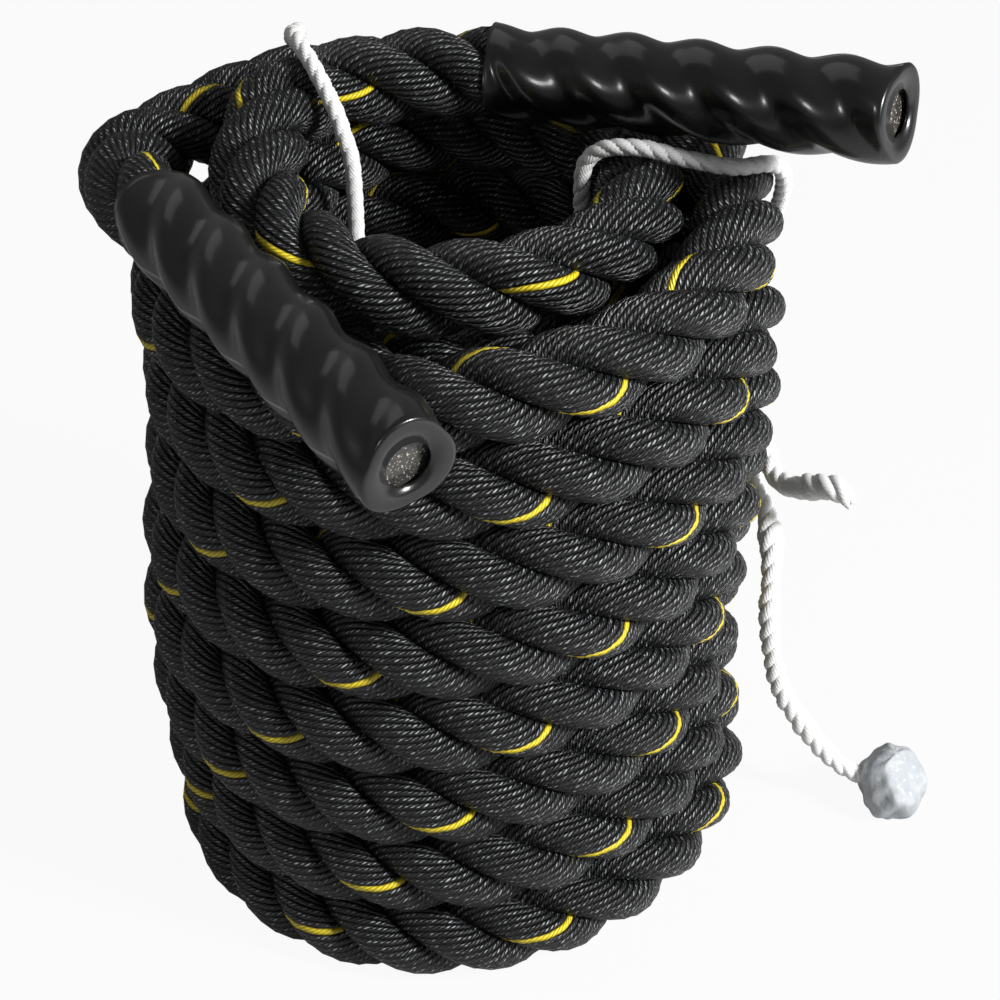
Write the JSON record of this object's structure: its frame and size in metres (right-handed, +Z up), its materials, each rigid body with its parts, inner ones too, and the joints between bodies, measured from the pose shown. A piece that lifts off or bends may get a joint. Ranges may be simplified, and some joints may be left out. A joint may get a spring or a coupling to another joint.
{
  "type": "battle rope",
  "caption": "Thick three-strand training rope wound into an upright coil of two layers, with a shrink-tube grip on each end and white cord ties.",
  "frame": {"origin": "middle of the bottom of the whole rope's box, on the surface that the coil stands on", "axes": "+Z up along the coil's axis, +Y to the back as pictured, +X to the right where the grip and the loose tie tails stick out"},
  "size_m": [0.5096, 0.4656, 0.5348],
  "materials": {
    "rope_yarn": "black polyester yarn, slightly glossy",
    "shrink_tube": "glossy black heat-shrink tube",
    "fused_yarn": "melted and speckled cut end",
    "tie_yarn": "soft white cotton cord",
    "melted_yarn": "lumpy melted cord end"
  },
  "bodies": {
    "coil": {"rope_coil": "rope_yarn", "rope_tail_left": "rope_yarn", "rope_tail_right": "rope_yarn", "tie_back": "tie_yarn", "tie_back_knot": "tie_yarn", "tie_right": "tie_yarn", "tie_right_knot": "tie_yarn", "tie_short_tail": "tie_yarn", "tie_long_tail": "tie_yarn", "tie_melted_end": "melted_yarn"},
    "left_grip": {"grip_sleeve_left": "shrink_tube", "rope_end_left": "rope_yarn", "fused_end_left": "fused_yarn"},
    "right_grip": {"grip_sleeve_right": "shrink_tube", "rope_end_right": "rope_yarn", "fused_end_right": "fused_yarn"}
  },
  "joints": [
    {"name": "left_grip_lift", "type": "hinge", "parent": "coil", "child": "left_grip", "pos_m": [-0.20179, -0.01919, 0.47782], "axis": [-0.8159, -0.5782, 0], "range_deg": [0, 75]},
    {"name": "right_grip_lift", "type": "hinge", "parent": "coil", "child": "right_grip", "pos_m": [-0.02889, 0.11352, 0.50195], "axis": [-0.2712, -0.9625, 0], "range_deg": [0, 75]}
  ]
}
